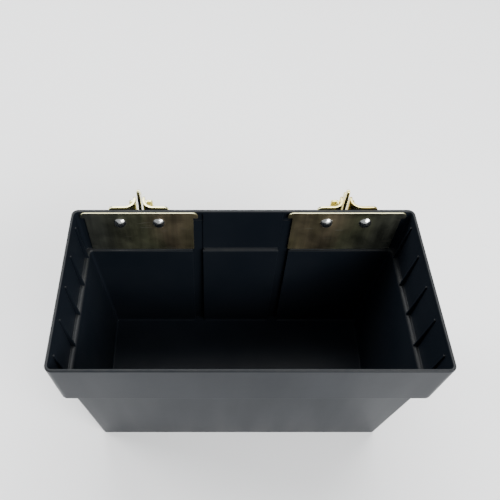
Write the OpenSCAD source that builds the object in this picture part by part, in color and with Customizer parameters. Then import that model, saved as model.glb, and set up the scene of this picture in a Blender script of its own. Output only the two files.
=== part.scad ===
// Hanging parts bin: a moulded bin with a wide collar, hung from a slotted cargo
// rail by two plated hanger plates and two spring-latched rail fittings.
// Frame: +Z up, origin under the middle of the rim on the bin's flat bottom,
// +Y towards the wall and rail.  Millimetres.

/* [Bin] */
// Width of the rim, outside
rim_w = 332; // [332:1:380]
// Depth of the rim, outside
rim_d = 171; // [171:1:220]
// Height of the bin
bin_h = 203; // [150:1:260]
// Height of the wide collar
collar_h = 60; // [60:0.5:80]
// Wall thickness
wall = 2.8; // [2.5:0.1:3]
// Thickness of the rear collar wall
rear_wall = 3.6; // [3.6:0.1:4]
// Outside corner radius
corner_r = 8; // [6:0.5:8]
// How far the collar narrows on each side
side_draft = 1.5; // [0.5:0.1:3]
// How far the collar narrows at the front
front_draft = 2; // [0.5:0.1:3]
// Step in from the collar to the body, on each side
side_step = 4.5; // [4:0.5:8]
// Step in from the collar to the body, at the front
front_step = 9.4; // [4:0.2:14]
// Step in from the collar to the body, at the back
rear_step = 4.4; // [4.4:0.1:6]
// How far the body narrows on each side
side_taper = 9.4; // [2:0.2:14]
// How far the body narrows at the front
front_taper = 9.2; // [2:0.2:14]

/* [Gussets] */
// Gussets on each side wall
gusset_count = 5; // [3:1:5]
// From the bin's back to the first gusset
gusset_first = 15.6; // [12:0.1:18]
// Distance between gussets
gusset_pitch = 34; // [26:0.1:35]
// Thickness of a gusset
gusset_t = 1.8; // [1.5:0.1:3]
// Depth of the gusset tops below the rim
gusset_top = 9.6; // [6:0.2:20]

/* [Hanger plates] */
// Distance between the two hooks, a whole number of rail slots
hook_span = 203.2; // [152.4:50.8:203.2]
// Width of a plate's face
plate_w = 106; // [90:1:107]
// Thickness of the plate
plate_t = 1.6; // [1.4:0.1:2]
// Distance between a plate's two rivets
rivet_pitch = 38.1; // [36:0.1:40]
// Depth of the rivets below the rim
rivet_z = 15.2; // [14:0.1:16]

/* [Rail fittings] */
// Sheet thickness of a cheek
cheek_t = 2.3; // [2:0.1:2.5]
// Distance between the two necks, centre to centre
neck_gap = 9; // [8.8:0.1:9.4]
// From the bin's back to the face of the rail
rail_gap = 16.3; // [16:0.1:17]
// Thickness of the latch lever
lever_t = 3; // [2.5:0.1:3.2]

/* [Hidden] */

$fn = 48;
hull_fn = 32;
eps = 0.01;
over = 1;                          // how far a cutter runs past the wall it cuts

back_y = rim_d / 2;                // the bin's back plane
hook_x = hook_span / 2;
ledge_z = collar_h - wall;         // top of the ledge, below the rim
body_half = rim_w / 2 - side_draft - side_step;
body_front = -rim_d + front_draft + front_step;

// Recess in the rear wall behind the inboard ear of each plate
plate_x = hook_x - plate_w / 2;    // inboard edge of the plate's face
pocket_d = 1.9;
pocket_z = 14.2;
pocket_top = 3;
pocket_in = plate_x - 9.2;         // inboard end, from the middle of the bin
// Upright channel beside each plate, and the hollow rib that it runs down
channel_w = 10.6;
channel_d = 1.2;
rib_wall = 2.5;
rib_skin = 2.4;

plate_bottom = ledge_z - 0.3;
plate_top = 0.5;
ear_w = 4.8;                       // the top is wider than the face
ear_out = 3.4;
ear_z = 8;
ear_r = 5;

rivet_r = 3.2;
rivet_hole_r = 3.3;
rivet_head_r = 6.6;
rivet_head_h = 3.8;
rivet_tail_r = 4.8;
rivet_tail_h = 2;
washer_r = 5;
washer_t = 1.2;

wing_end = 29.5;                   // from the hook's centre plane
cheek_top = 2;                     // above the rim
wing_bottom = 50;
wing_r = 5;
bend_r = 9.5;                      // at the middle of the sheet
neck_x = neck_gap / 2;
neck_back = rail_gap + 1.7;
neck_bottom = 61;
neck_top_back = rail_gap - 0.9;
neck_top_z = 10.8;
ear_y = rail_gap + 3.3;            // front of the ears, behind the rail
ear_end = 11.8;
upper_ear = [-22.5, -10.8];
lower_ear = [-72.5, -62.3];
lower_root = -52;                  // top of the neck's part above the lower ear

pivot_y = 13;
pivot_z = 28;                      // below the rim
pin_r = 2;
pin_fit = 0.05;
pin_head_r = 3.2;
pin_head_t = 1.4;
spacer_z = 46;
spacer_r = 2.4;
spacer_shank_r = 1.6;
spacer_head_r = 2.8;
spacer_head_t = 1.2;
wire_d = 0.8;
coil_r = 2.9;
coil_gap = 0.15;
spring_leg = 11;
spring_tail = 19;

boss_lever_r = 4.6;
lever_front = 10.55;
lever_back = 15.2;
tip_r = 2.2;
tip_z = 10.3;
nose_y = rail_gap + 4.7;
nose_low = -8.5;
nose_high = 3;
heel_gap = 0.2;                    // between the heel and the spacer that stops it
heel_w = 2.2;
heel_z = 48;

// Places things in the bracket's own frame: x from the middle of the bin,
// y from the bin's back plane, z from the rim.
module at_rim() {
    translate([0, back_y, bin_h]) children();
}

// side is -1 for the left bracket, 1 for the right one
module at_hook(side) {
    translate([side * hook_x, back_y, bin_h]) children();
}

// A tapered box with round upright corners.  low and high are
// [half width, front y, back y, z].
module tapered_box(low, high, r) {
    hull()
        for (s = [low, high], x = [-1, 1], y = [1, 2])
            translate([x * (s[0] - r), s[y] + (y == 1 ? r : -r), s[3]])
                cylinder(r = r, h = eps, $fn = hull_fn);
}

module along_x(r, x0, x1) {
    translate([x0, 0, 0]) rotate([0, 90, 0]) cylinder(r = r, h = x1 - x0);
}

module along_y(r, y0, y1) {
    translate([0, y0, 0]) rotate([-90, 0, 0]) cylinder(r = r, h = y1 - y0);
}

module box(low, high) {
    translate(low) cube(high - low);
}

// ---------------------------------------------------------------- bin body

module body_outside() {
    tapered_box([rim_w / 2 - side_draft, -rim_d + front_draft, 0, -collar_h],
                [rim_w / 2, -rim_d, 0, -eps], corner_r);
    tapered_box([body_half - side_taper, body_front + front_taper, -rear_step, -bin_h],
                [body_half, body_front, -rear_step, -collar_h + eps], corner_r);
}

module body_inside() {
    r = corner_r - wall;
    back = -rear_step - wall;
    tapered_box([rim_w / 2 - side_draft - wall, -rim_d + front_draft + wall, -rear_wall, -ledge_z],
                [rim_w / 2 - wall, -rim_d + wall, -rear_wall, over], r);
    tapered_box([body_half - side_taper - wall, body_front + front_taper + wall, back, -bin_h + wall],
                [body_half - wall, body_front + wall, back, -ledge_z + eps], r);
}

module gussets(side) {
    wall_x = rim_w / 2 - wall / 2 - side_draft;
    tip_x = rim_w / 2 - wall - 1.7;
    foot_x = body_half - wall + 0.3;
    mirror([side < 0 ? 1 : 0, 0, 0])
        for (i = [0:gusset_count - 1])
            translate([0, -gusset_first - i * gusset_pitch, 0])
                rotate([90, 0, 0])
                    translate([0, 0, -gusset_t / 2])
                        linear_extrude(height = gusset_t)
                            polygon([[wall_x, -gusset_top], [tip_x, -gusset_top],
                                     [foot_x, -ledge_z - 1], [wall_x, -ledge_z - 1]]);
}

module rear_pocket(side) {
    mirror([side < 0 ? 1 : 0, 0, 0]) {
        box([pocket_in, -rear_wall - over, -pocket_z],
            [pocket_in + channel_w, -rear_wall + pocket_d, -pocket_top]);
        // the channel from the pocket to the ledge, and on down the rib
        box([pocket_in, -rear_wall - over, -ledge_z - over],
            [pocket_in + channel_w, -rear_wall + channel_d, -pocket_z + eps]);
        box([pocket_in, -rear_step - wall - over, -bin_h + wall],
            [pocket_in + channel_w, -rib_skin, -ledge_z]);
    }
}

module rear_rib(side) {
    mirror([side < 0 ? 1 : 0, 0, 0])
        box([pocket_in - rib_wall, -rear_step - wall / 2, -bin_h],
            [pocket_in + channel_w + rib_wall, 0, -collar_h + eps]);
}

module bin_body() {
    color([0.10, 0.11, 0.12])
        at_rim() difference() {
            union() {
                difference() {
                    body_outside();
                    body_inside();
                }
                gussets(-1);
                gussets(1);
                rear_rib(-1);
                rear_rib(1);
            }
            rear_pocket(-1);
            rear_pocket(1);
            for (side = [-1, 1], k = [-1, 1])
                translate([side * hook_x + k * rivet_pitch / 2, 0, -rivet_z])
                    along_y(rivet_hole_r, -rear_wall - over, over);
        }
}

// ----------------------------------------------------------- hanger plates

// The plate's outline, x from the middle of the bin and z from the rim
module plate_outline() {
    x0 = plate_x - ear_w;
    x1 = plate_x + plate_w + ear_out;
    translate([plate_x, -plate_bottom]) square([plate_w, plate_bottom - plate_top]);
    translate([x0 + ear_r, -ear_z]) square([x1 - x0 - 2 * ear_r, ear_z - plate_top]);
    translate([x0, -ear_z]) square([ear_r + eps, ear_z - plate_top - ear_r]);
    translate([x1 - ear_r - eps, -ear_z]) square([ear_r + eps, ear_z - plate_top - ear_r]);
    for (x = [x0 + ear_r, x1 - ear_r])
        translate([x, -plate_top - ear_r]) intersection() {
            circle(r = ear_r);
            translate([-ear_r, 0]) square([2 * ear_r, ear_r]);
        }
}

module hanger_plate(side) {
    color([0.55, 0.55, 0.36])
        at_rim() mirror([side < 0 ? 1 : 0, 0, 0]) difference() {
            translate([0, -rear_wall, 0]) rotate([90, 0, 0])
                linear_extrude(height = plate_t) plate_outline();
            for (k = [-1, 1])
                translate([hook_x + k * rivet_pitch / 2, 0, -rivet_z])
                    along_y(rivet_hole_r, -rear_wall - plate_t - over, -rear_wall + over);
        }
}

// ------------------------------------------------------------ rail fittings

// One bent cheek: a wing on the bin's back, a round bend, a neck through the
// rail's slot and ears behind the rail.  hand is 1 for the cheek on +X.
module cheek(side, hand) {
    bend_y = cheek_t / 2 + bend_r;
    bend_x = neck_x + bend_r;
    neck_in = neck_x - cheek_t / 2;
    neck_out = neck_x + cheek_t / 2;
    color([0.80, 0.78, 0.58])
        at_hook(side) mirror([hand < 0 ? 1 : 0, 0, 0]) difference() {
            union() {
                // wing, with a round top corner
                box([bend_x, 0, -wing_bottom], [wing_end - wing_r, cheek_t, cheek_top]);
                box([wing_end - wing_r - eps, 0, -wing_bottom],
                    [wing_end, cheek_t, cheek_top - wing_r]);
                translate([wing_end - wing_r, 0, cheek_top - wing_r]) along_y(wing_r, 0, cheek_t);
                // bend
                translate([bend_x, bend_y, -wing_bottom]) difference() {
                    cylinder(r = bend_r + cheek_t / 2, h = wing_bottom + cheek_top);
                    translate([0, 0, -over])
                        cylinder(r = bend_r - cheek_t / 2, h = wing_bottom + cheek_top + 2 * over);
                    box([0, -bend_r - cheek_t, -over],
                        [bend_r + cheek_t, bend_r + cheek_t, wing_bottom + cheek_top + over]);
                    box([-bend_r - cheek_t, 0, -over],
                        [eps, bend_r + cheek_t, wing_bottom + cheek_top + over]);
                }
                // neck
                box([neck_in, bend_y, -neck_bottom], [neck_out, neck_back, -neck_top_z]);
                box([neck_in, bend_y, -neck_top_z - eps], [neck_out, neck_top_back, cheek_top]);
                // ears
                for (ear = [upper_ear, lower_ear])
                    box([neck_in, ear_y, ear[0]], [ear_end, ear_y + cheek_t, ear[1]]);
                box([neck_in, neck_back - eps, upper_ear[0]], [neck_out, ear_y + eps, upper_ear[1]]);
                box([neck_in, neck_back - eps, -neck_bottom], [neck_out, ear_y + eps, lower_root]);
                box([neck_in, ear_y, lower_ear[1] - eps], [neck_out, ear_y + cheek_t, lower_root]);
            }
            translate([rivet_pitch / 2, 0, -rivet_z]) along_y(rivet_hole_r, -over, cheek_t + over);
            translate([0, pivot_y, -pivot_z]) along_x(pin_r, neck_in - over, neck_out + over);
            translate([0, pivot_y, -spacer_z]) along_x(spacer_shank_r, neck_in - over, neck_out + over);
        }
}

// The lever's outline: x along the bin's depth, y up.  The heel comes down behind
// the spacer, which stops the lever at rest.
module lever_outline() {
    heel_y = pivot_y + spacer_r + heel_gap;
    translate([heel_y, -heel_z]) square([heel_w, heel_z - pivot_z]);
    translate([pivot_y, -pivot_z]) circle(r = boss_lever_r);
    translate([lever_front, -pivot_z]) square([lever_back - lever_front, pivot_z + nose_high]);
    polygon([[lever_front, nose_high - eps], [lever_back, nose_high - eps],
             [pivot_y + tip_r, tip_z], [pivot_y - tip_r, tip_z]]);
    translate([pivot_y, tip_z]) circle(r = tip_r);
    polygon([[lever_back - eps, nose_low - 5], [nose_y, nose_low],
             [nose_y, nose_high - 2], [nose_y - 2, nose_high], [lever_back - eps, nose_high]]);
}

module latch_lever(side) {
    color([0.72, 0.70, 0.50])
        at_hook(side) difference() {
            rotate([90, 0, 90]) translate([0, 0, -lever_t / 2])
                linear_extrude(height = lever_t) lever_outline();
            translate([0, pivot_y, -pivot_z]) along_x(pin_r + pin_fit, -lever_t, lever_t);
        }
}

module headed_pin(shank_r, head_r, head_t) {
    neck_out = neck_x + cheek_t / 2;
    along_x(shank_r, -neck_out - head_t / 2, neck_out + head_t / 2);
    along_x(head_r, neck_out, neck_out + head_t);
    along_x(head_r, -neck_out - head_t, -neck_out);
}

module latch_pin(side) {
    color([0.75, 0.75, 0.75])
        at_hook(side) translate([0, pivot_y, -pivot_z])
            headed_pin(pin_r, pin_head_r, pin_head_t);
}

module spacer(side) {
    neck_in = neck_x - cheek_t / 2;
    color([0.75, 0.75, 0.75])
        at_hook(side) translate([0, pivot_y, -spacer_z]) {
            headed_pin(spacer_shank_r, spacer_head_r, spacer_head_t);
            along_x(spacer_r, -neck_in, neck_in);
        }
}

// A double torsion spring: a coil on each side of the lever, a bail across the
// lever's front edge and two tails in front of the spacer.
module latch_spring(side) {
    neck_in = neck_x - cheek_t / 2;
    coil_in = lever_t / 2 + coil_gap;
    coil_out = neck_in - coil_gap;
    leg_x = (coil_in + coil_out) / 2;
    color([0.55, 0.56, 0.58])
        at_hook(side) translate([0, pivot_y, -pivot_z]) {
            for (s = [-1, 1]) mirror([s < 0 ? 1 : 0, 0, 0]) {
                difference() {
                    along_x(coil_r + wire_d / 2, coil_in, coil_out);
                    along_x(coil_r - wire_d / 2, 0, neck_x);
                }
                translate([leg_x, -coil_r, -spring_tail])
                    cylinder(r = wire_d / 2, h = spring_tail + spring_leg);
            }
            translate([0, -coil_r, spring_leg]) along_x(wire_d / 2, -leg_x, leg_x);
        }
}

// ---------------------------------------------------------------- fasteners

module rivet(side, k) {
    dome_r = (pow(rivet_head_r, 2) + pow(rivet_head_h, 2)) / (2 * rivet_head_h);
    face_y = -rear_wall - plate_t;
    tail_y = cheek_t + washer_t;
    color([0.82, 0.82, 0.80])
        at_hook(side) translate([k * rivet_pitch / 2, 0, -rivet_z]) {
            along_y(rivet_r, face_y - eps, tail_y + eps);
            along_y(rivet_tail_r, tail_y, tail_y + rivet_tail_h);
            intersection() {
                translate([0, face_y - rivet_head_h + dome_r, 0]) sphere(r = dome_r);
                along_y(rivet_head_r, face_y - rivet_head_h - over, face_y);
            }
        }
}

module washer(side, k) {
    color([0.78, 0.78, 0.76])
        at_hook(side) translate([k * rivet_pitch / 2, cheek_t, -rivet_z]) difference() {
            along_y(washer_r, 0, washer_t);
            along_y(rivet_hole_r, -over, washer_t + over);
        }
}

bin_body();
hanger_plate(-1);  // hanger_plate_left
hanger_plate(1);  // hanger_plate_right
cheek(-1, -1);  // cheek_left_outer
cheek(-1, 1);  // cheek_left_inner
cheek(1, -1);  // cheek_right_inner
cheek(1, 1);  // cheek_right_outer
latch_lever(-1);  // latch_lever_left
latch_lever(1);  // latch_lever_right
latch_pin(-1);  // latch_pin_left
latch_pin(1);  // latch_pin_right
latch_spring(-1);  // latch_spring_left
latch_spring(1);  // latch_spring_right
spacer(-1);  // spacer_left
spacer(1);  // spacer_right
rivet(-1, -1);  // rivet_left_outer
rivet(-1, 1);  // rivet_left_inner
rivet(1, -1);  // rivet_right_inner
rivet(1, 1);  // rivet_right_outer
washer(-1, -1);  // washer_left_outer
washer(-1, 1);  // washer_left_inner
washer(1, -1);  // washer_right_inner
washer(1, 1);  // washer_right_outer
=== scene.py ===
import math

import bmesh
import bpy
from mathutils import Matrix, Vector


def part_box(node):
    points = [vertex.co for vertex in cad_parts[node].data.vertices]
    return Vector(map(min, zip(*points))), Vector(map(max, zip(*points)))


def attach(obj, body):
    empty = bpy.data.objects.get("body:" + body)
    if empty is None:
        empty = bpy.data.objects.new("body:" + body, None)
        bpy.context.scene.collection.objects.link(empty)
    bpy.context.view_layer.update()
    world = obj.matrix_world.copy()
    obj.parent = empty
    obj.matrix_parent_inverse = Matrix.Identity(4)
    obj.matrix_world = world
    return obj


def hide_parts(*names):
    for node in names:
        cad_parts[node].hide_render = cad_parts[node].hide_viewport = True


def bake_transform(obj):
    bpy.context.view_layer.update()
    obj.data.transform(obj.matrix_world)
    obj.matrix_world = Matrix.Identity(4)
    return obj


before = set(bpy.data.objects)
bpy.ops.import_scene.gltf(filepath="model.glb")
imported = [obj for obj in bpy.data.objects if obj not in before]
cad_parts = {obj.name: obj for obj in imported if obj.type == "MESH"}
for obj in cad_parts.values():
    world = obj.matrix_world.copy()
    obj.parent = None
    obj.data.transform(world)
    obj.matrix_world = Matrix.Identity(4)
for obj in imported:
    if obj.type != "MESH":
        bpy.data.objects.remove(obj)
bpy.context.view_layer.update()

# ------------------------------------------------------------------ sizes
# Rim frame: millimetres, x from the middle of the bin, y from the bin's back plane
# and z from the rim.  The CAD gives where that frame lies in the row.
MM = 0.001
BIN_LOW, BIN_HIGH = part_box("bin_body")
RIM_W = (BIN_HIGH.x - BIN_LOW.x) / MM
RIM_D = (BIN_HIGH.y - BIN_LOW.y) / MM
BIN_H = (BIN_HIGH.z - BIN_LOW.z) / MM
BACK_Y = BIN_HIGH.y
RIM_Z = BIN_HIGH.z

WALL = 2.8
REAR_WALL = 3.6
COLLAR_H = 60.0
LEDGE_Z = COLLAR_H - WALL
CORNER_R = 6.5
BODY_CORNER_R = 4.0
BODY_CORNER_EASE = 1.8
SIDE_DRAFT = 1.5
FRONT_DRAFT = 2.0
SIDE_STEP = 4.5
FRONT_STEP = 9.4
REAR_STEP = 4.4
SIDE_TAPER = 9.4
FRONT_TAPER = 9.2

GUSSET_COUNT = 5
GUSSET_FIRST = 15.6
GUSSET_PITCH = 34.0
GUSSET_T = 1.8
GUSSET_TOP = 9.6
GUSSET_TIP = 1.7
GUSSET_FOOT = 0.3

PIN_LOW, PIN_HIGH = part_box("latch_pin_right")
HOOK_X = (PIN_LOW.x + PIN_HIGH.x) / 2 / MM
PLATE_W = 106.0
PLATE_T = 1.6
PLATE_X = HOOK_X - PLATE_W / 2
PLATE_BOTTOM = LEDGE_Z - 0.3
PLATE_TOP = 0.5
EAR_IN = 4.8
EAR_OUT = 4.0
EAR_Z = 8.0
EAR_R = 5.0
RIVET_DX = 19.05
RIVET_Z = 15.2
RIVET_R = 3.2
RIVET_HOLE_R = 3.3
RIVET_HEAD_R = 6.6
RIVET_HEAD_H = 3.8
TAIL_R = 4.8
TAIL_H = 1.6
TAIL_EDGE = 0.35
WASHER_R = 5.0
WASHER_T = 1.2
POCKET_D = 1.9
POCKET_Z = 14.2
POCKET_TOP = 3.0
POCKET_FLARE = 0.7
POCKET_IN = PLATE_X - 9.2
CHANNEL_W = 10.6
CHANNEL_D = 1.2
CHANNEL_FLARE = 0.35
RIB_WALL = 2.5
RIB_R = 1.0
RIB_FOOT = 0.4

CHEEK_T = 2.3
NECK_X = 4.5
BEND_R = 9.5
WING_END = 29.5
CHEEK_TOP = 2.0
WING_BOTTOM = 50.0
NECK_BOTTOM = 61.0
NECK_WAIST = 52.0
RAIL_GAP = 16.3
LUG_GAP = 3.3
LUG_X = 11.8
UPPER_LUG = (10.8, 22.5)
LOWER_LUG = (62.3, 72.5)
PIVOT_Y = 13.0
PIVOT_Z = 28.0
PIN_R = 2.0
SPACER_R = 1.6
SPACER_Z = 46.0
LEVER_T = 3.0
WIRE_R = 0.37
COIL_R = 2.9

CORNER_SEGMENTS = 10
FILLET_SEGMENTS = 4
TURNED_SEGMENTS = 48
AXIS_R = 0.02
OVER = 2.0

CAMERA_FROM_RIM = (-0.0331, -0.3625, 0.4156)
CAMERA_PITCH = 55.24


# ------------------------------------------------------------------ mesh helpers

def finish_mesh(bm, name, smooth_deg=32.0):
    """Turns a bmesh in the rim frame into an object in the row frame."""
    bmesh.ops.remove_doubles(bm, verts=bm.verts, dist=0.002)
    bmesh.ops.recalc_face_normals(bm, faces=bm.faces)
    bm.transform(Matrix.Translation((0, BACK_Y, RIM_Z)) @ Matrix.Scale(MM, 4))
    mesh = bpy.data.meshes.new(name)
    bm.to_mesh(mesh)
    bm.free()
    obj = bpy.data.objects.new(name, mesh)
    bpy.context.scene.collection.objects.link(obj)
    shade(obj, smooth_deg)
    return obj


def shade(obj, smooth_deg=32.0):
    obj.data.shade_smooth()
    obj.data.set_sharp_from_angle(angle=math.radians(smooth_deg))
    weighted = obj.modifiers.new("weighted_normals", "WEIGHTED_NORMAL")
    weighted.keep_sharp = True
    weighted.weight = 80


def boolean(obj, operand, operation):
    """Applies one exact boolean to obj and removes the operand."""
    modifier = obj.modifiers.new("boolean", "BOOLEAN")
    modifier.operation = operation
    modifier.solver = "EXACT"
    modifier.object = operand
    for m in obj.modifiers:
        m.show_viewport = m == modifier
    graph = bpy.context.evaluated_depsgraph_get()
    mesh = bpy.data.meshes.new_from_object(obj.evaluated_get(graph))
    obj.modifiers.clear()
    obj.data = mesh
    bpy.data.objects.remove(operand)


def loft(bm, rings):
    """A closed skin over rings of equally many points."""
    loops = [[bm.verts.new(p) for p in ring] for ring in rings]
    for a, b in zip(loops, loops[1:]):
        for i in range(len(a)):
            j = (i + 1) % len(a)
            bm.faces.new((a[i], a[j], b[j], b[i]))
    bm.faces.new(list(reversed(loops[0])))
    bm.faces.new(loops[-1])


def turned(place, radius, along, segments):
    """The points of one circle about place's Z axis."""
    turn = 2 * math.pi / segments
    return [place @ Vector((radius * math.cos(turn * i), radius * math.sin(turn * i), along))
            for i in range(segments)]


def lathe(bm, profile, place, segments=40):
    """Turns (radius, along) points about place's Z axis; the ends close on the axis."""
    loft(bm, [turned(place, radius, along, segments) for radius, along in profile])


def rounded(points, steps=5):
    """An outline whose points are (x, y, radius), with arcs at the corners."""
    outline = []
    count = len(points)
    for i, (x, y, radius) in enumerate(points):
        corner = Vector((x, y))
        before = Vector(points[i - 1][:2]) - corner
        after = Vector(points[(i + 1) % count][:2]) - corner
        if radius <= 0:
            outline.append(corner)
            continue
        half = before.angle(after) / 2
        reach = radius / math.tan(half)
        inwards = (before.normalized() + after.normalized()).normalized()
        middle = corner + inwards * radius / math.sin(half)
        start = corner + before.normalized() * reach - middle
        end = corner + after.normalized() * reach - middle
        turn = math.atan2(start.cross(end), start.dot(end))
        for k in range(steps + 1):
            outline.append(middle + Matrix.Rotation(turn * k / steps, 2) @ start)
    return outline


def circle(x, y, radius, steps=28):
    return [Vector((x + radius * math.cos(2 * math.pi * k / steps),
                    y + radius * math.sin(2 * math.pi * k / steps))) for k in range(steps)]


def blank(outline, holes, cuts, thickness, edge):
    """A flat sheet-metal blank in (u, v, t): cut across at each u in cuts, edges rounded."""
    bm = bmesh.new()
    edges = []
    for loop in [outline] + holes:
        verts = [bm.verts.new((p[0], p[1], -thickness / 2)) for p in loop]
        edges += [bm.edges.new((verts[i - 1], verts[i])) for i in range(len(verts))]
    bmesh.ops.triangle_fill(bm, use_beauty=True, edges=edges)
    for u in cuts:
        bmesh.ops.bisect_plane(bm, geom=bm.verts[:] + bm.edges[:] + bm.faces[:],
                               plane_co=(u, 0, 0), plane_no=(1, 0, 0), dist=1e-5)
    grown = bmesh.ops.extrude_face_region(bm, geom=bm.faces[:])
    lifted = [g for g in grown["geom"] if isinstance(g, bmesh.types.BMVert)]
    bmesh.ops.translate(bm, verts=lifted, vec=(0, 0, thickness))
    bmesh.ops.recalc_face_normals(bm, faces=bm.faces)
    rim = [e for e in bm.edges
           if len(e.link_faces) == 2 and e.calc_face_angle(0) > math.radians(60)
           and abs(e.verts[0].co.z - e.verts[1].co.z) < 1e-6]
    bmesh.ops.bevel(bm, geom=rim, offset=edge, segments=2, profile=0.5, affect="EDGES")
    return bm


def follow(path, start, heading, u, t):
    """The point u along a path of lines and bends, t to the left of it."""
    point = Vector(start)
    for k, (length, radius) in enumerate(path):
        run = u if k == len(path) - 1 else min(u, length)
        ahead = Vector((math.cos(heading), math.sin(heading)))
        left = Vector((-ahead.y, ahead.x))
        if radius:
            turn = run / radius
            centre = point + left * radius
            point = centre + Matrix.Rotation(turn, 2) @ (point - centre)
            heading += turn
        else:
            point = point + ahead * run
        u -= run
        if u <= 1e-9:
            break
    return point + Vector((-math.sin(heading), math.cos(heading))) * t


def bend_cuts(path, steps=8):
    """Where a blank is cut across so that its bends come out round."""
    cuts = []
    along = 0.0
    for length, radius in path:
        if radius:
            cuts += [along + length * k / steps for k in range(steps + 1)]
        along += length
    return cuts


def tube(bm, points, radius, sides=12):
    """A round wire along points, with closed ends."""
    rings = []
    normal = None
    for i, p in enumerate(points):
        ahead = (points[min(i + 1, len(points) - 1)] - points[max(i - 1, 0)]).normalized()
        if normal is None:
            normal = ahead.orthogonal().normalized()
        normal = (normal - ahead * normal.dot(ahead)).normalized()
        across = ahead.cross(normal)
        rings.append([p + (normal * math.cos(2 * math.pi * k / sides)
                           + across * math.sin(2 * math.pi * k / sides)) * radius
                      for k in range(sides)])
    loft(bm, rings)


def flip(bm, side):
    """Mirrors a right-hand mesh to the left when side is -1."""
    if side < 0:
        bmesh.ops.scale(bm, vec=(-1, 1, 1), verts=bm.verts)
        bmesh.ops.reverse_faces(bm, faces=bm.faces)


def prism(bm, outline, place, low, high, edge=0.0):
    """An outline pushed from low to high along place's Z axis, with bevelled edges."""
    made = bmesh.new()
    rings = [[place @ Vector((p[0], p[1], h)) for p in outline] for h in (low, high)]
    loft(made, rings)
    bmesh.ops.recalc_face_normals(made, faces=made.faces)
    if edge:
        bmesh.ops.bevel(made, geom=made.edges[:], offset=edge, segments=2, profile=0.5, affect="EDGES")
    mesh = bpy.data.meshes.new("prism")
    made.to_mesh(mesh)
    made.free()
    bm.from_mesh(mesh)
    bpy.data.meshes.remove(mesh)


# Puts an outline in the XZ plane, and turns the Z axis to Y or X
PLANE_XZ = Matrix(((1, 0, 0, 0), (0, 0, 1, 0), (0, 1, 0, 0), (0, 0, 0, 1)))
TURN_TO_Y = Matrix.Rotation(math.radians(-90), 4, "X")
TURN_TO_X = Matrix.Rotation(math.radians(90), 4, "Y")


# ------------------------------------------------------------------ bin body

def inset(ring, d):
    """A wall ring (half width, front, back, corner radius, z) moved inwards by d."""
    half, front, back, radius, z = ring
    return (half - d, front + d, back - d, max(radius - d, 0.5), z)


def at_height(wall, z):
    """The ring of a drafted wall at height z."""
    low, high = wall
    share = (z - low[4]) / (high[4] - low[4])
    return tuple(a + (b - a) * share for a, b in zip(low, high))


def fillet(start, corner, end):
    """Rings that round off corner on the way from start to end."""
    rings = []
    for k in range(FILLET_SEGMENTS + 1):
        a = math.radians(90 * k / FILLET_SEGMENTS)
        to_start = 1 - math.sin(a)
        to_end = 1 - math.cos(a)
        rings.append(tuple(c + (s - c) * to_start + (e - c) * to_end
                           for s, c, e in zip(start, corner, end)))
    return rings


def ring_points(ring):
    """The points of a wall ring: a rectangle with rounded corners."""
    half, front, back, radius, z = ring
    left, right = radius - half, half - radius
    near, far = front + radius, back - radius
    centres = ((right, far), (left, far), (left, near), (right, near))
    points = []
    for quarter, (cx, cy) in enumerate(centres):
        for k in range(CORNER_SEGMENTS + 1):
            a = math.radians(90 * (quarter + k / CORNER_SEGMENTS))
            points.append(Vector((cx + radius * math.cos(a), cy + radius * math.sin(a), z)))
    return points


BODY_HALF = RIM_W / 2 - SIDE_DRAFT - SIDE_STEP
BODY_FRONT = -RIM_D + FRONT_DRAFT + FRONT_STEP


def bin_shell():
    """The moulding without its ribs and recesses: one skin over outer and inner walls."""
    foot_half, foot_front = BODY_HALF - SIDE_TAPER, BODY_FRONT + FRONT_TAPER
    lip_half, lip_front = RIM_W / 2 - SIDE_DRAFT, -RIM_D + FRONT_DRAFT
    inner_r = CORNER_R - WALL
    body_r = BODY_CORNER_R - WALL + BODY_CORNER_EASE
    inner_back = -REAR_STEP - WALL
    outer_collar = ((lip_half, lip_front, 0, CORNER_R, -COLLAR_H),
                    (RIM_W / 2, -RIM_D, 0, CORNER_R, 0))
    outer_body = ((foot_half, foot_front, -REAR_STEP, BODY_CORNER_R, -BIN_H),
                  (BODY_HALF, BODY_FRONT, -REAR_STEP, BODY_CORNER_R, -COLLAR_H))
    inner_collar = ((lip_half - WALL, lip_front + WALL, -REAR_WALL, inner_r, -LEDGE_Z),
                    (RIM_W / 2 - WALL, -RIM_D + WALL, -REAR_WALL, inner_r, 0))
    inner_body = ((foot_half - WALL, foot_front + WALL, inner_back, body_r, -BIN_H + WALL),
                  (BODY_HALF - WALL, BODY_FRONT + WALL, inner_back, body_r, -LEDGE_Z))
    # (wall before the edge, the edge itself, what follows it), from the foot up outside and
    # from the rim down inside
    foot, under, lip, corner, ledge, floor = 1.4, 0.8, 0.9, 0.5, 2.9, 2.4
    rim, rim_in = 1.4, 0.7
    edges = [
        (inset(outer_body[0], foot), outer_body[0], at_height(outer_body, foot - BIN_H)),
        (at_height(outer_body, -COLLAR_H - under), outer_body[1], inset(outer_body[1], -under)),
        (inset(outer_collar[0], lip), outer_collar[0], at_height(outer_collar, lip - COLLAR_H)),
        (at_height(outer_collar, -rim), outer_collar[1], inset(outer_collar[1], rim)),
        (inset(inner_collar[1], -rim_in), inner_collar[1], at_height(inner_collar, -rim_in)),
        (at_height(inner_collar, corner - LEDGE_Z), inner_collar[0], inset(inner_collar[0], corner)),
        (inset(inner_body[1], -ledge), inner_body[1], at_height(inner_body, -LEDGE_Z - ledge)),
        (at_height(inner_body, WALL - BIN_H + floor), inner_body[0], inset(inner_body[0], floor)),
    ]
    bm = bmesh.new()
    loft(bm, [ring_points(ring) for edge in edges for ring in fillet(*edge)])
    return bm


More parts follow.
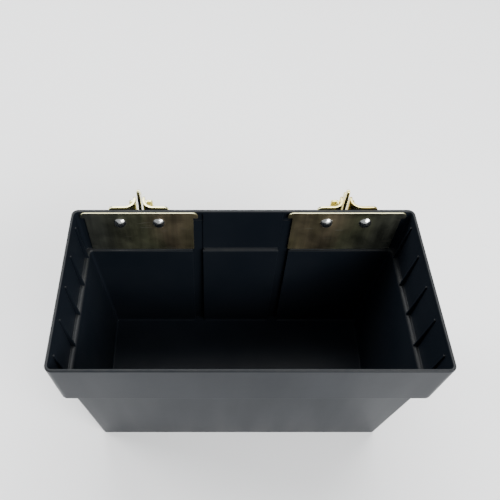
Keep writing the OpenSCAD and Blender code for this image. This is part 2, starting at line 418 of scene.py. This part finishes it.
def cut_recess(obj, side, name, reach, depths, flare, ends):
    """Cuts one recess into the rear wall at a plate's inner edge.  reach is its top and
    bottom, depths are where it starts and ends, and flare is its mouth's chamfer, which
    is at the top and bottom too where ends is 1."""
    top, bottom = reach
    mouth, depth = depths
    outside = POCKET_IN + CHANNEL_W
    outline = [(POCKET_IN, top, -1, ends), (POCKET_IN, bottom, -1, -ends),
               (outside, bottom, 1, -ends), (outside, top, 1, ends)]
    rings = []
    for y, grow in ((mouth - OVER, flare + OVER), (mouth, flare), (mouth + flare, 0.0), (depth, 0.0)):
        rings.append([Vector((x + dx * grow, y, z + dz * grow)) for x, z, dx, dz in outline])
    cutter = bmesh.new()
    loft(cutter, rings)
    flip(cutter, side)
    boolean(obj, finish_mesh(cutter, name), "DIFFERENCE")


def add_rear_ribs(obj):
    """Two upright ribs on the lower body's back, one behind each channel."""
    root = -REAR_STEP - WALL / 2
    ribs = bmesh.new()
    for side in (-1, 1):
        ends = (side * (POCKET_IN - RIB_WALL), side * (POCKET_IN + CHANNEL_W + RIB_WALL))
        low, high = min(ends), max(ends)
        outline = rounded([(low, root, 0.0), (high, root, 0.0), (high, 0, RIB_R), (low, 0, RIB_R)], 4)
        prism(ribs, outline, Matrix.Identity(4), -BIN_H + RIB_FOOT, -COLLAR_H + WALL / 2)
    boolean(obj, finish_mesh(ribs, "ribs"), "UNION")


def cut_recesses(obj):
    """The pocket behind each plate's inner ear, and the channel that runs down from it."""
    channel_top, channel_end = 1.0 - POCKET_Z, -LEDGE_Z - 4.0
    flute_top, flute_end = 0.5 - LEDGE_Z, WALL + 0.02 - BIN_H
    channel_floor = CHANNEL_D - REAR_WALL
    for side in (-1, 1):
        cut_recess(obj, side, "pocket", (-POCKET_TOP, -POCKET_Z),
                   (-REAR_WALL, POCKET_D - REAR_WALL), POCKET_FLARE, 1)
        cut_recess(obj, side, "channel", (channel_top, channel_end),
                   (-REAR_WALL, channel_floor), CHANNEL_FLARE, 0)
        cut_recess(obj, side, "flute", (flute_top, flute_end),
                   (-REAR_STEP - WALL, channel_floor), CHANNEL_FLARE, 0)


def add_gussets(obj):
    """Thin gussets between the collar and the ledge on both sides."""
    wall_x = RIM_W / 2 - WALL / 2 - SIDE_DRAFT
    tip_x = RIM_W / 2 - WALL - GUSSET_TIP
    foot_x = BODY_HALF - WALL + GUSSET_FOOT
    sunk = -LEDGE_Z - 1
    gussets = bmesh.new()
    for side in (-1, 1):
        outline = [(side * wall_x, -GUSSET_TOP), (side * tip_x, -GUSSET_TOP),
                   (side * foot_x, sunk), (side * wall_x, sunk)]
        for i in range(GUSSET_COUNT):
            y = -GUSSET_FIRST - i * GUSSET_PITCH
            prism(gussets, outline, PLANE_XZ, y - GUSSET_T / 2, y + GUSSET_T / 2, 0.4)
    boolean(obj, finish_mesh(gussets, "gussets"), "UNION")


def rivet_place(side, k):
    """The axis of one rivet: k is its side of the hook."""
    return Matrix.Translation((side * HOOK_X + k * RIVET_DX, 0, -RIVET_Z)) @ TURN_TO_Y


def cut_rivet_holes(obj):
    holes = bmesh.new()
    for side in (-1, 1):
        for k in (-1, 1):
            lathe(holes, [(RIVET_HOLE_R, -REAR_WALL - OVER), (RIVET_HOLE_R, OVER)], rivet_place(side, k))
    boolean(obj, finish_mesh(holes, "holes"), "DIFFERENCE")


def build_bin():
    obj = finish_mesh(bin_shell(), "bin_shell")
    obj.modifiers.clear()
    add_rear_ribs(obj)
    cut_recesses(obj)
    add_gussets(obj)
    cut_rivet_holes(obj)
    obj.name = "bin_moulding"
    obj.data.name = "bin_moulding"
    shade(obj, 28.0)
    return obj


# ------------------------------------------------------------------ sheet metal

def hand_name(side):
    return "right" if side > 0 else "left"


def build_plate(side):
    """A flat plate on the rear wall's inside, wider at its rounded top."""
    x1 = PLATE_X + PLATE_W
    ear0, ear1 = PLATE_X - EAR_IN, x1 + EAR_OUT
    outline = rounded([(PLATE_X, -PLATE_BOTTOM, 1.2), (x1, -PLATE_BOTTOM, 1.2),
                       (x1, -EAR_Z, 0.5), (ear1, -EAR_Z, 0.8), (ear1, -PLATE_TOP, EAR_R),
                       (ear0, -PLATE_TOP, EAR_R), (ear0, -EAR_Z, 0.8), (PLATE_X, -EAR_Z, 0.5)])
    holes = [circle(HOOK_X + k * RIVET_DX, -RIVET_Z, RIVET_HOLE_R) for k in (-1, 1)]
    bm = blank(outline, holes, [], PLATE_T, 0.5)
    for v in bm.verts:
        v.co = (v.co.x, -REAR_WALL - PLATE_T / 2 + v.co.z, v.co.y)
    flip(bm, side)
    return finish_mesh(bm, "plate_" + hand_name(side))


def build_cheek(side, hand):
    """A cheek: wing on the bin's back, round bend, neck through the rail, lugs behind it.

    It is cut flat and bent along a path, where u runs from the wing's end to the lugs'."""
    lug_bend = CHEEK_T
    bend_y = CHEEK_T / 2 + BEND_R
    wing = WING_END - NECK_X - BEND_R
    bend = BEND_R * math.pi / 2
    neck = RAIL_GAP + LUG_GAP + CHEEK_T / 2 - lug_bend - bend_y
    lug_arc = lug_bend * math.pi / 2
    lug = LUG_X - NECK_X - lug_bend
    path = [(wing, 0), (bend, -BEND_R), (neck, 0), (lug_arc, -lug_bend), (lug, 0)]

    neck_u = wing + bend
    arc_u = neck_u + neck
    lug_u = arc_u + lug_arc
    end_u = lug_u + lug
    root_u = arc_u + 0.55 * lug_arc
    pivot_u = neck_u + PIVOT_Y - bend_y
    shoulder_u = neck_u + RAIL_GAP - 0.9 - bend_y
    back_u = neck_u + RAIL_GAP + 1.7 - bend_y

    wing_foot = [(0, -WING_BOTTOM, 4), (neck_u + 0.6, -WING_BOTTOM, 1.2), (neck_u + 0.6, -NECK_BOTTOM, 2)]
    lower_lug = [(root_u, -NECK_BOTTOM, 0.5), (root_u, -LOWER_LUG[1], 0.6), (end_u, -LOWER_LUG[1], 2),
                 (end_u, -LOWER_LUG[0], 2), (lug_u, -LOWER_LUG[0], 0.4)]
    between = [(lug_u, -NECK_WAIST, 0.8), (back_u, -NECK_WAIST, 0.8), (back_u, -UPPER_LUG[1], 0.8)]
    upper_lug = [(end_u, -UPPER_LUG[1], 2), (end_u, -UPPER_LUG[0], 2), (shoulder_u, -UPPER_LUG[0], 1)]
    wing_top = [(shoulder_u, CHEEK_TOP, 2), (0, CHEEK_TOP, 5)]
    outline = rounded(wing_foot + lower_lug + between + upper_lug + wing_top)
    holes = [circle(WING_END - RIVET_DX, -RIVET_Z, RIVET_HOLE_R),
             circle(pivot_u, -PIVOT_Z, PIN_R + 0.03, 20),
             circle(pivot_u, -SPACER_Z, SPACER_R + 0.03, 20)]
    bm = blank(outline, holes, bend_cuts(path), CHEEK_T, 0.35)
    for v in bm.verts:
        x, y = follow(path, (WING_END, CHEEK_T / 2), math.pi, v.co.x, v.co.z)
        v.co = (x, y, v.co.y)
    flip(bm, hand)
    bmesh.ops.translate(bm, verts=bm.verts, vec=(side * HOOK_X, 0, 0))
    where = "outer" if side == hand else "inner"
    return finish_mesh(bm, f"bent_cheek_{hand_name(side)}_{where}")


def build_lever(side):
    """The latch lever: boss, heel, nose and thumb tip in one flat plate."""
    front, back = 10.55, 15.2
    heel, heel_t, heel_z = PIVOT_Y + 2.6, 2.2, 48.0
    nose, shoulder_z = RAIL_GAP + 4.7, 3.0
    tip_half, tip_z = 2.2, 12.4
    boss = [(front, -PIVOT_Z - 2.4, 3.5), (PIVOT_Y + 0.5, -PIVOT_Z - 4.6, 2.2),
            (heel, -PIVOT_Z - 5.6, 1)]
    heel_leg = [(heel, -heel_z, 0.7), (heel + heel_t, -heel_z, 0.7),
                (heel + heel_t, -PIVOT_Z + 0.4, 1.2)]
    nose_hook = [(back, -PIVOT_Z + 3.6, 1.5), (back, -13.5, 1.5), (nose, -8.5, 1.2), (nose, 1.8, 1.6),
                 (nose - 2, shoulder_z, 0.9), (back, shoulder_z, 1.2)]
    thumb_tip = [(PIVOT_Y + tip_half, tip_z, 2.1), (PIVOT_Y - tip_half, tip_z, 2.1),
                 (front, shoulder_z, 6)]
    hole = circle(PIVOT_Y, -PIVOT_Z, PIN_R + 0.06)
    bm = blank(rounded(boss + heel_leg + nose_hook + thumb_tip), [hole], [], LEVER_T, 0.45)
    for v in bm.verts:
        v.co = (side * HOOK_X + v.co.z, v.co.x, v.co.y)
    return finish_mesh(bm, "thumb_latch_" + hand_name(side))


# ------------------------------------------------------------------ turned parts and springs

def dome(radius, height, steps=8):
    """(radius, along) points of a rivet's dome, from its edge almost to its crown."""
    sphere = (radius ** 2 + height ** 2) / (2 * height)
    reach = math.asin(radius / sphere)
    angles = [reach * (1 - k / steps) for k in range(steps)]
    return [(sphere * math.sin(a), height - sphere + sphere * math.cos(a)) for a in angles]


def build_rivet(side, k):
    """A rivet through plate, wall, cheek and washer: domed head in front, formed tail behind."""
    face = REAR_WALL + PLATE_T
    tail = CHEEK_T + WASHER_T
    tail_face = tail + TAIL_EDGE
    profile = [(AXIS_R, -face - RIVET_HEAD_H)]
    profile += [(r, -face - h) for r, h in reversed(dome(RIVET_HEAD_R, RIVET_HEAD_H))]
    profile += [(RIVET_HEAD_R - 0.2, -face), (RIVET_R, -face), (RIVET_R, tail), (TAIL_R - 0.3, tail)]
    profile += [(r, tail_face + h) for r, h in dome(TAIL_R, TAIL_H)]
    profile += [(AXIS_R, tail_face + TAIL_H)]
    bm = bmesh.new()
    lathe(bm, profile, rivet_place(side, k), TURNED_SEGMENTS)
    where = "outer" if side == k else "inner"
    return finish_mesh(bm, f"domed_rivet_{hand_name(side)}_{where}")


def build_washer(side, k):
    """A plain washer between a cheek's wing and its rivet's tail."""
    low, high = CHEEK_T, CHEEK_T + WASHER_T
    edge = 0.2
    outer, inner = WASHER_R, RIVET_HOLE_R
    profile = [(inner, low + edge), (inner, high - edge), (inner + edge, high), (outer - edge, high),
               (outer, high - edge), (outer, low + edge), (outer - edge, low), (inner + edge, low)]
    bm = bmesh.new()
    place = rivet_place(side, k)
    rings = [[bm.verts.new(p) for p in turned(place, radius, along, TURNED_SEGMENTS)]
             for radius, along in profile]
    for a, b in zip(rings, rings[1:] + rings[:1]):
        for i in range(TURNED_SEGMENTS):
            bm.faces.new((a[i - 1], a[i], b[i], b[i - 1]))
    where = "outer" if side == k else "inner"
    return finish_mesh(bm, f"plain_washer_{hand_name(side)}_{where}")


def headed_pin(bm, place, shank, head_r, head_t, waist=None):
    """A pin with a slightly domed head at each end; waist is (radius, half length)."""
    inner = NECK_X + CHEEK_T / 2
    outer = inner + head_t
    edge = 0.15
    half = [(AXIS_R, outer), (head_r * 0.55, outer), (head_r - 0.35, outer - edge),
            (head_r, outer - 3 * edge), (head_r, inner + edge), (head_r - edge, inner), (shank, inner)]
    if waist:
        radius, reach = waist
        half += [(shank, reach), (radius - edge, reach), (radius, reach - edge)]
    profile = half + [(r, -a) for r, a in reversed(half)]
    lathe(bm, profile, place, 36)


def build_pin(side):
    bm = bmesh.new()
    place = Matrix.Translation((side * HOOK_X, PIVOT_Y, -PIVOT_Z)) @ TURN_TO_X
    headed_pin(bm, place, PIN_R, 3.2, 1.4)
    return finish_mesh(bm, "pivot_pin_" + hand_name(side))


def build_spacer(side):
    bm = bmesh.new()
    place = Matrix.Translation((side * HOOK_X, PIVOT_Y, -SPACER_Z)) @ TURN_TO_X
    headed_pin(bm, place, SPACER_R, 2.8, 1.2, (2.4, NECK_X - CHEEK_T / 2))
    return finish_mesh(bm, "cheek_spacer_" + hand_name(side))


def build_spring(side):
    """One wire: tail, a coil beside the lever, a bail across its front, and back."""
    side_gap = 0.13
    outside = NECK_X - CHEEK_T / 2 - side_gap - WIRE_R
    inside = LEVER_T / 2 + side_gap + WIRE_R
    leg, tail, bail_r = 11.0, 19.0, 1.0
    tail_steps, leg_steps, bail_steps, coil_steps = 6, 5, 6, 32
    half = [Vector((-outside, -COIL_R, tail * (k / tail_steps - 1))) for k in range(tail_steps + 1)]
    for k in range(1, coil_steps + 1):
        a = 2 * math.pi * k / coil_steps
        across = (outside - inside) * k / coil_steps - outside
        half.append(Vector((across, -COIL_R * math.cos(a), COIL_R * math.sin(a))))
    for k in range(1, leg_steps + 1):
        half.append(Vector((-inside, -COIL_R, (leg - bail_r) * k / leg_steps)))
    for k in range(1, bail_steps + 1):
        a = math.radians(90 * k / bail_steps)
        half.append(Vector((bail_r * (1 - math.cos(a)) - inside, -COIL_R,
                            leg - bail_r * (1 - math.sin(a)))))
    points = half + [Vector((-p.x, p.y, p.z)) for p in reversed(half)]
    centre = Vector((side * HOOK_X, PIVOT_Y, -PIVOT_Z))
    bm = bmesh.new()
    tube(bm, [centre + p for p in points], WIRE_R)
    return finish_mesh(bm, "torsion_spring_" + hand_name(side), 60.0)


# ------------------------------------------------------------------ materials

class Nodes:
    """Short names for building one node tree."""

    def __init__(self, name):
        self.material = bpy.data.materials.new(name)
        self.material.use_nodes = True
        self.tree = self.material.node_tree
        self.shader = self.tree.nodes["Principled BSDF"]
        self.position = self.add("ShaderNodeTexCoord").outputs["Object"]

    def add(self, kind, **settings):
        node = self.tree.nodes.new(kind)
        for key, value in settings.items():
            setattr(node, key, value)
        return node

    def link(self, source, target):
        self.tree.links.new(source, target)

    def noise(self, scale, detail=3.0, stretch=(1, 1, 1), roughness=0.5):
        mapping = self.add("ShaderNodeMapping")
        mapping.inputs["Scale"].default_value = stretch
        self.link(self.position, mapping.inputs["Vector"])
        noise = self.add("ShaderNodeTexNoise")
        noise.inputs["Scale"].default_value = scale
        noise.inputs["Detail"].default_value = detail
        noise.inputs["Roughness"].default_value = roughness
        self.link(mapping.outputs["Vector"], noise.inputs["Vector"])
        return noise.outputs["Fac"]

    def span(self, value, low, high, to_low, to_high):
        node = self.add("ShaderNodeMapRange")
        node.inputs["From Min"].default_value = low
        node.inputs["From Max"].default_value = high
        node.inputs["To Min"].default_value = to_low
        node.inputs["To Max"].default_value = to_high
        self.link(value, node.inputs["Value"])
        return node.outputs["Result"]

    def mix(self, share, a, b, blend="MIX"):
        node = self.add("ShaderNodeMix", data_type="RGBA", blend_type=blend)
        self.put(share, node.inputs["Factor"])
        self.put(a, node.inputs[6])
        self.put(b, node.inputs[7])
        return node.outputs[2]

    def part(self, vector, axis):
        """One coordinate of a vector."""
        node = self.add("ShaderNodeSeparateXYZ")
        self.link(vector, node.inputs["Vector"])
        return node.outputs[axis]

    def upward(self):
        """How far a face looks up."""
        return self.part(self.add("ShaderNodeNewGeometry").outputs["Normal"], "Z")

    def calculate(self, operation, a, b=None):
        node = self.add("ShaderNodeMath", operation=operation)
        self.put(a, node.inputs[0])
        if b is not None:
            self.put(b, node.inputs[1])
        return node.outputs["Value"]

    def grey(self, value):
        node = self.add("ShaderNodeCombineColor")
        for channel in ("Red", "Green", "Blue"):
            self.link(value, node.inputs[channel])
        return node.outputs["Color"]

    def put(self, value, socket):
        if isinstance(value, bpy.types.NodeSocket):
            self.link(value, socket)
        elif isinstance(value, (int, float)):
            socket.default_value = value
        else:
            socket.default_value = (*value, 1.0)

    def ramp(self, value, stops):
        node = self.add("ShaderNodeValToRGB")
        ramp = node.color_ramp
        while len(ramp.elements) < len(stops):
            ramp.elements.new(0.5)
        for element, (place, colour) in zip(ramp.elements, stops):
            element.position = place
            element.color = (*colour, 1.0)
        self.link(value, node.inputs["Fac"])
        return node.outputs["Color"]

    def bump(self, height, distance, strength=1.0, under=None):
        node = self.add("ShaderNodeBump")
        node.inputs["Distance"].default_value = distance
        node.inputs["Strength"].default_value = strength
        self.link(height, node.inputs["Height"])
        if under is not None:
            self.link(under, node.inputs["Normal"])
        return node.outputs["Normal"]


def plastic():
    """Black moulded polypropylene: satin, fine grain, faint flow marks, and a painted highlight
    on upward-facing faces: the rim, the ledge and the rib tops."""
    n = Nodes("black_moulding")
    blotch = n.noise(14.0, 4.0)
    flow = n.noise(30.0, 3.0, (1, 1, 0.15))
    colour = n.mix(n.span(blotch, 0.35, 0.7, 0, 1), (0.0056, 0.0078, 0.0114), (0.0082, 0.0106, 0.0146))
    above_floor = n.span(n.part(n.position, "Z"), 0.020, 0.060, 0, 1)
    # Painted highlight: upward-facing faces above the floor (rim top, ledge, rib tops) get a paler grey,
    # in patches
    upward_painted_highlight = n.calculate("MULTIPLY", n.span(n.upward(), 0.15, 0.65, 0, 1), above_floor)
    patchy_painted_highlight = n.calculate("MULTIPLY", upward_painted_highlight, n.span(n.noise(120.0, 3.0), 0.3, 0.7, 0.55, 1.0))
    n.link(n.mix(patchy_painted_highlight, colour, (0.018, 0.019, 0.020)), n.shader.inputs["Base Color"])
    n.link(n.span(flow, 0.3, 0.7, 0.30, 0.38), n.shader.inputs["Roughness"])
    n.shader.inputs["Specular IOR Level"].default_value = 0.09
    grain = n.bump(n.noise(2600.0, 2.0), 0.00003, 0.35)
    n.link(n.bump(n.noise(60.0, 2.0), 0.0004, 0.12, grain), n.shader.inputs["Normal"])
    return n.material


def yellow_zinc(name, rough, rolling):
    """Yellow passivated zinc: interference colours in soft patches over rolled sheet."""
    n = Nodes(name)
    patch = n.noise(16.0, 4.0, (1, 1, 1.4), 0.6)
    n.link(n.ramp(patch, GOLD), n.shader.inputs["Base Color"])
    n.shader.inputs["Metallic"].default_value = 1.0
    n.link(n.span(n.noise(45.0, 3.0), 0.3, 0.7, *rough), n.shader.inputs["Roughness"])
    lines = n.bump(n.noise(900.0, 3.0, (1, 1, rolling)), 0.00002, 0.5)
    n.link(n.bump(n.noise(24.0, 2.0), 0.0006, 0.18, lines), n.shader.inputs["Normal"])
    return n.material


def plate_zinc():
    """Olive passivated sheet: golden near the bin's middle and grey-green outboard, with
    upright streaks, handling scratches and a painted highlight on upward-facing edges."""
    n = Nodes("yellow_zinc_plate")
    across = n.calculate("ABSOLUTE", n.part(n.position, "X"))
    wander = n.span(n.noise(18.0, 3.0, (1, 1, 0.5)), 0.3, 0.7, -0.02, 0.02)
    outboard = n.span(n.calculate("ADD", across, wander), 0.045, 0.160, 0, 1)
    colour = n.ramp(outboard, [(0.0, (0.64, 0.57, 0.31)), (0.22, (0.58, 0.47, 0.30)),
                               (0.42, (0.41, 0.42, 0.25)), (0.70, (0.35, 0.36, 0.27)),
                               (1.0, (0.33, 0.34, 0.29))])
    streaks = n.grey(n.span(n.noise(150.0, 3.0, (1, 1, 0.06)), 0.3, 0.7, 0.72, 1.22))
    colour = n.mix(1.0, colour, streaks, "MULTIPLY")
    scratch = n.span(n.noise(260.0, 2.0, (0.14, 1, 1.3)), 0.66, 0.72, 0, 0.7)
    colour = n.mix(scratch, colour, (0.80, 0.76, 0.62))
    # Painted highlight: upward-facing faces (the plate's top edges) get a pale yellow
    colour = n.mix(n.span(n.upward(), 0.35, 0.75, 0, 1), colour, (0.60, 0.58, 0.34))
    n.link(colour, n.shader.inputs["Base Color"])
    n.shader.inputs["Metallic"].default_value = 1.0
    n.link(n.span(n.noise(45.0, 3.0), 0.3, 0.7, 0.34, 0.48), n.shader.inputs["Roughness"])
    lines = n.bump(n.noise(900.0, 3.0, (0.06, 1, 1)), 0.00002, 0.5)
    n.link(n.bump(n.noise(24.0, 2.0), 0.0006, 0.18, lines), n.shader.inputs["Normal"])
    return n.material


def bright_steel(name, colour, rough, dents):
    """Plated steel with small dents and handling marks; dents is (scale, depth)."""
    n = Nodes(name)
    tint = n.mix(n.noise(180.0, 3.0), colour, tuple(c * 0.72 for c in colour))
    n.link(tint, n.shader.inputs["Base Color"])
    n.shader.inputs["Metallic"].default_value = 1.0
    n.link(n.span(n.noise(400.0, 3.0), 0.3, 0.7, *rough), n.shader.inputs["Roughness"])
    scale, depth = dents
    n.link(n.bump(n.noise(scale, 2.0), depth, 0.5), n.shader.inputs["Normal"])
    return n.material


def floor_material():
    n = Nodes("pale_floor")
    tone = n.mix(n.noise(3.0, 3.0), (0.86, 0.86, 0.86), (0.90, 0.90, 0.90))
    n.link(tone, n.shader.inputs["Base Color"])
    n.shader.inputs["Roughness"].default_value = 0.85
    n.shader.inputs["Specular IOR Level"].default_value = 0.1
    return n.material


# ------------------------------------------------------------------ the scene

def place_camera():
    """Over the bin's front edge, left of its middle, looking down on it."""
    data = bpy.data.cameras.new("camera")
    data.sensor_width = 36.0
    data.lens = 40.74
    data.shift_x = 0.082
    data.shift_y = 0.044
    data.clip_start = 0.01
    camera = bpy.data.objects.new("camera", data)
    bpy.context.scene.collection.objects.link(camera)
    camera.location = Vector((0, BACK_Y, RIM_Z)) + Vector(CAMERA_FROM_RIM)
    camera.rotation_euler = (math.radians(90 - CAMERA_PITCH), 0, 0)
    bpy.context.scene.camera = camera


def area_light(name, location, size, watts):
    """A soft box that faces the middle of the bin."""
    data = bpy.data.lights.new(name, "AREA")
    data.shape = "RECTANGLE"
    data.size, data.size_y = size
    data.energy = watts
    light = bpy.data.objects.new(name, data)
    bpy.context.scene.collection.objects.link(light)
    light.location = location
    towards = Vector((0, 0, RIM_Z / 2)) - Vector(location)
    light.rotation_euler = towards.to_track_quat("-Z", "Y").to_euler()


def stage():
    """A pale floor, a faint sky and three soft boxes."""
    bm = bmesh.new()
    bmesh.ops.create_grid(bm, x_segments=8, y_segments=8, size=4.0)
    mesh = bpy.data.meshes.new("floor")
    bm.to_mesh(mesh)
    bm.free()
    floor = bpy.data.objects.new("floor", mesh)
    bpy.context.scene.collection.objects.link(floor)
    floor.data.materials.append(floor_material())
    world = bpy.data.worlds.new("studio")
    world.use_nodes = True
    sky = world.node_tree.nodes["Background"]
    sky.inputs["Color"].default_value = (0.92, 0.96, 1.0, 1.0)
    sky.inputs["Strength"].default_value = 0.55
    bpy.context.scene.world = world
    area_light("back_softbox", (0.2, 1.0, 2.0), (2.4, 1.2), 78.0)
    area_light("front_softbox", (1.1, -1.3, 1.5), (1.6, 0.8), 78.0)
    area_light("left_softbox", (-1.8, 0.7, 1.3), (1.0, 1.4), 40.0)


def dress(obj, body, nodes, material):
    """Puts a finished piece on its body in place of the CAD nodes it stands for."""
    obj.data.materials.clear()
    obj.data.materials.append(material)
    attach(obj, body)
    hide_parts(*nodes)


def dress_spring(side, word):
    """Builds one spring in place, with its transform baked in, and hides the CAD spring; it is attached
    to no body.
    """
    spring = build_spring(side)
    spring.data.materials.append(WIRE_STEEL)
    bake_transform(spring)
    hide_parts("latch_spring_" + word)


place_camera()
stage()

BLACK = plastic()
GOLD = [(0.25, (0.58, 0.46, 0.15)), (0.45, (0.74, 0.66, 0.29)), (0.60, (0.80, 0.76, 0.43)),
        (0.80, (0.60, 0.58, 0.32))]
PLATE_ZINC = plate_zinc()
CHEEK_ZINC = yellow_zinc("yellow_zinc_cheek", (0.20, 0.32), 0.08)
LEVER_ZINC = yellow_zinc("yellow_zinc_lever", (0.22, 0.34), 0.1)
RIVET_STEEL = bright_steel("rivet_steel", (0.78, 0.78, 0.76), (0.16, 0.30), (420.0, 0.0006))
PIN_STEEL = bright_steel("pin_steel", (0.60, 0.60, 0.58), (0.22, 0.36), (900.0, 0.0001))
WIRE_STEEL = bright_steel("spring_wire", (0.42, 0.42, 0.42), (0.28, 0.40), (1500.0, 0.0001))

dress(build_bin(), "bin", ["bin_body"], BLACK)
for side, word in ((-1, "left"), (1, "right")):
    dress(build_plate(side), "bin", ["hanger_plate_" + word], PLATE_ZINC)
    dress(build_lever(side), "latch_" + word, ["latch_lever_" + word], LEVER_ZINC)
    dress(build_pin(side), "bin", ["latch_pin_" + word], PIN_STEEL)
    dress(build_spacer(side), "bin", ["spacer_" + word], PIN_STEEL)
    dress_spring(side, word)
    for hand in (-1, 1):
        end = word + ("_outer" if side == hand else "_inner")
        dress(build_cheek(side, hand), "bin", ["cheek_" + end], CHEEK_ZINC)
        dress(build_rivet(side, hand), "bin", ["rivet_" + end], RIVET_STEEL)
        dress(build_washer(side, hand), "bin", ["washer_" + end], RIVET_STEEL)
